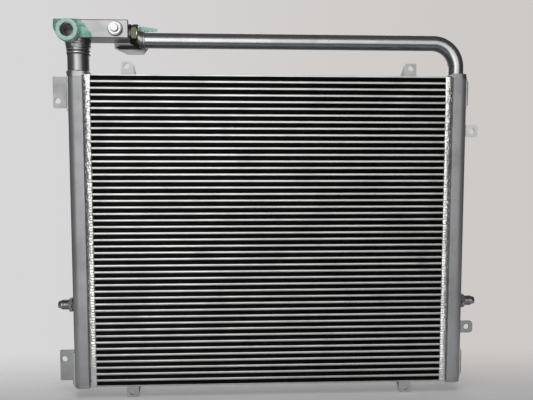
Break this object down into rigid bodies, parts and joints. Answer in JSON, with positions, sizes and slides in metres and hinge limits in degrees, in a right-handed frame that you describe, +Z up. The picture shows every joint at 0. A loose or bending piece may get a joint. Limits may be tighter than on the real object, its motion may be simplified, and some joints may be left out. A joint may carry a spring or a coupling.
{
  "type": "hydraulic oil cooler",
  "caption": "Bar and plate hydraulic oil cooler with side tanks, return pipe, ported block with a bypass valve, mounting brackets, lugs and tabs.",
  "frame": {"origin": "centre of the bottom of the bounding box, which is the lower tabs' tips", "axes": "+Z up, +X to the right seen from the front, so the port block is at -X; +Y runs from the front face to the rear face, along the air path"},
  "size_m": [1.042, 0.0952, 0.9085],
  "materials": {
    "bar_aluminium": "satin, wiped along its length",
    "sheet_aluminium": "satin, as brazed",
    "fin_aluminium": "dark in the depth of the core",
    "tank_aluminium": "brushed along its height",
    "weld_bead": "bright rippled weld",
    "tube_aluminium": "polished tube",
    "block_aluminium": "milled, brushed along its length",
    "plated_steel": "bright zinc plate",
    "zinc_yellow": "yellow zinc plate",
    "dark_steel": "phosphated",
    "rubber": "matt black",
    "brass": "machined",
    "green_film": "thin crumpled translucent film",
    "bracket_aluminium": "matt, bead blasted"
  },
  "bodies": {
    "cooler": {"oil_bars_front": "bar_aluminium", "oil_bars_rear": "bar_aluminium", "parting_sheets": "sheet_aluminium", "oil_turbulators": "sheet_aluminium", "top_side_plate": "sheet_aluminium", "bottom_side_plate": "sheet_aluminium", "left_end_bars": "sheet_aluminium", "right_end_bars": "sheet_aluminium", "air_fins": "fin_aluminium", "left_tank_shell": "tank_aluminium", "left_tank_top_cap": "tank_aluminium", "left_tank_bottom_cap": "tank_aluminium", "right_tank_shell": "tank_aluminium", "right_tank_top_cap": "tank_aluminium", "right_tank_bottom_cap": "tank_aluminium", "left_tank_welds": "weld_bead", "right_tank_welds": "weld_bead", "neck_collar": "weld_bead", "return_pipe_base_ring": "weld_bead", "pipe_end_sleeve": "weld_bead", "neck_tube": "tube_aluminium", "return_pipe": "tube_aluminium", "port_block": "block_aluminium", "gallery_plug": "plated_steel", "left_fitting": "plated_steel", "right_fitting": "plated_steel", "union_nut": "zinc_yellow", "union_adapter": "dark_steel", "bypass_spring": "dark_steel", "spring_retainer": "dark_steel", "retainer_circlip": "dark_steel", "union_seal": "rubber", "gallery_plug_washer": "rubber", "slot_strip": "rubber", "left_fitting_washer": "rubber", "right_fitting_washer": "rubber", "front_port_film": "green_film", "rear_port_film": "green_film", "slotted_bracket": "bracket_aluminium", "upper_left_bracket": "bracket_aluminium", "lower_left_bracket": "bracket_aluminium", "upper_right_pad": "bracket_aluminium", "lower_right_pad": "bracket_aluminium", "upper_right_lug": "bracket_aluminium", "lower_right_lug": "bracket_aluminium", "top_left_tab": "bracket_aluminium", "top_right_tab": "bracket_aluminium", "bottom_left_tab": "bracket_aluminium", "bottom_right_tab": "bracket_aluminium", "left_fitting_boss": "bracket_aluminium", "right_fitting_boss": "bracket_aluminium"},
    "poppet": {"bypass_poppet": "brass"}
  },
  "joints": [
    {"name": "bypass_poppet_slide", "type": "slide", "parent": "cooler", "child": "poppet", "axis": [1, 0, 0], "range_m": [0, 0.006], "stiffness_N_per_m": 2000, "springref_m": -0.012, "deforming": ["bypass_spring"]}
  ]
}
